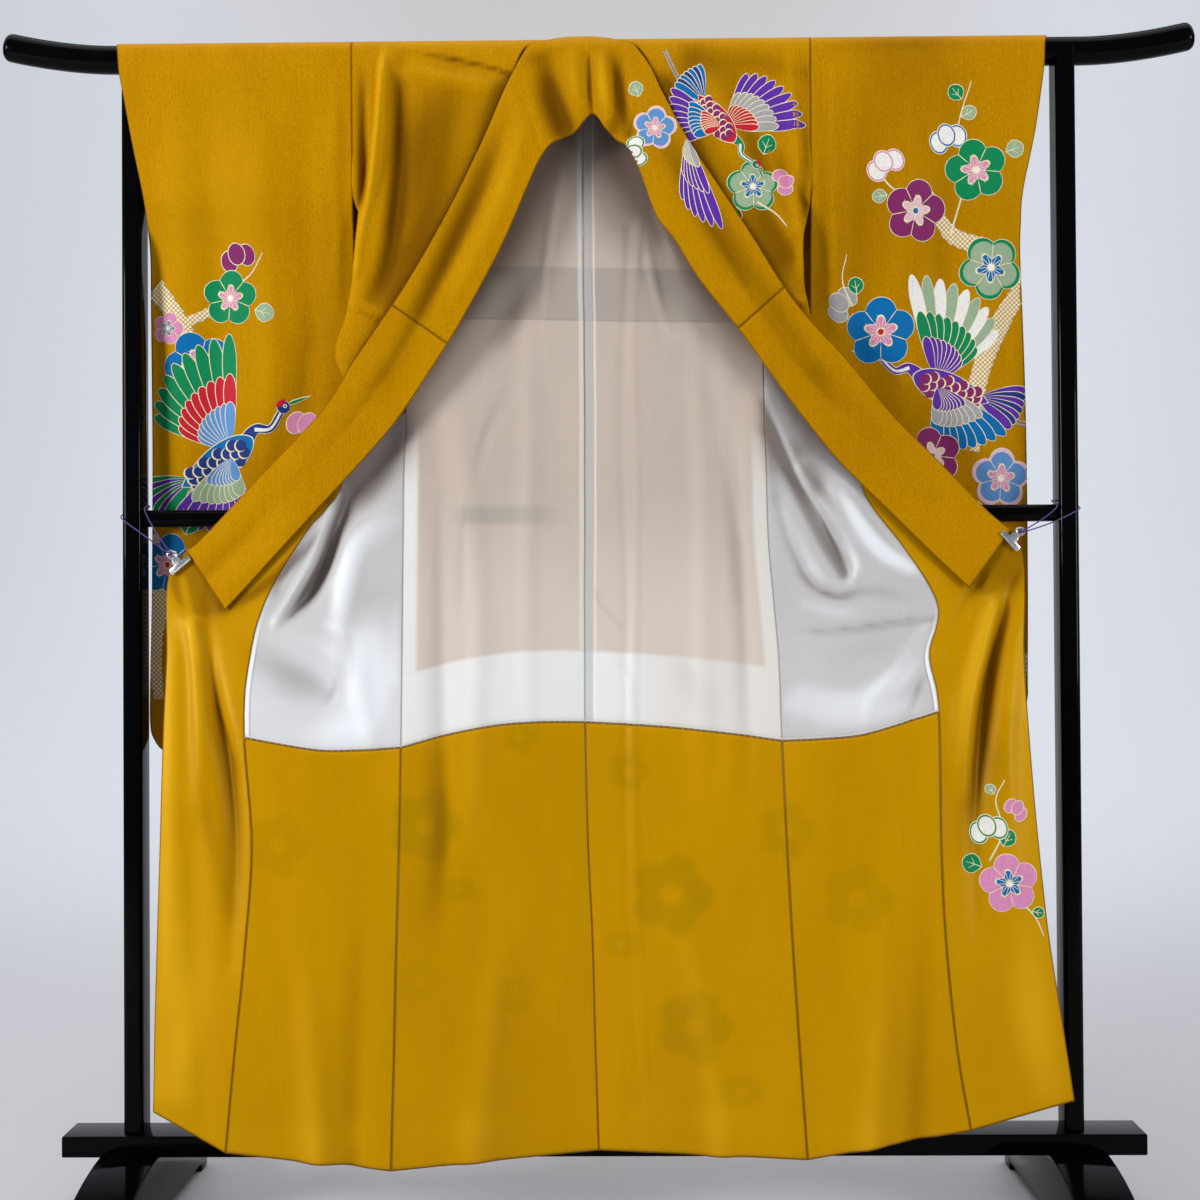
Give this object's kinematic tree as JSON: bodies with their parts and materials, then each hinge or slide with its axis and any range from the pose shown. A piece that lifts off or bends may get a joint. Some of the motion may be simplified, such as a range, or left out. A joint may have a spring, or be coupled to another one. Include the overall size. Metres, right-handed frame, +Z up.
{
  "type": "furisode on a kimono stand",
  "caption": "Long-sleeved silk furisode hung wide open over the bar of a black lacquered kimono stand, fronts clipped back to show the pale lining.",
  "frame": {"origin": "on the floor, midway between the stand's tips and between the ends of its feet", "axes": "+X to the viewer's right along the bar, +Y away from the viewer, +Z up; the open fronts face -Y"},
  "size_m": [1.7084, 0.48, 1.7014],
  "materials": {
    "lacquer": "glossy black lacquer",
    "gold_crepe": "matt silk crepe",
    "gold_satin": "smooth silk with a soft sheen",
    "lining_silk": "thin lining silk with a soft sheen",
    "clip_metal": "bright plated steel",
    "tie_cord": "matt twisted cord"
  },
  "bodies": {
    "root": {"bar": "lacquer", "rail": "lacquer", "beam": "lacquer", "post_left": "lacquer", "post_right": "lacquer", "foot_left": "lacquer", "foot_right": "lacquer", "body_left": "gold_crepe", "body_right": "gold_crepe", "okumi_left": "gold_crepe", "okumi_right": "gold_crepe", "collar_left": "gold_crepe", "over_collar": "gold_crepe", "collar_right": "gold_crepe", "sleeve_left": "gold_crepe", "sleeve_right": "gold_crepe", "okumi_facing_left": "gold_satin", "okumi_facing_right": "gold_satin", "front_facing_left": "gold_satin", "front_facing_right": "gold_satin", "back_facing_left": "gold_satin", "back_facing_right": "gold_satin", "front_lining_left": "lining_silk", "front_lining_right": "lining_silk", "back_lining_left": "lining_silk", "back_lining_right": "lining_silk", "clip_left": "clip_metal", "clip_right": "clip_metal", "tie_left": "tie_cord", "tie_right": "tie_cord"}
  },
  "joints": []
}
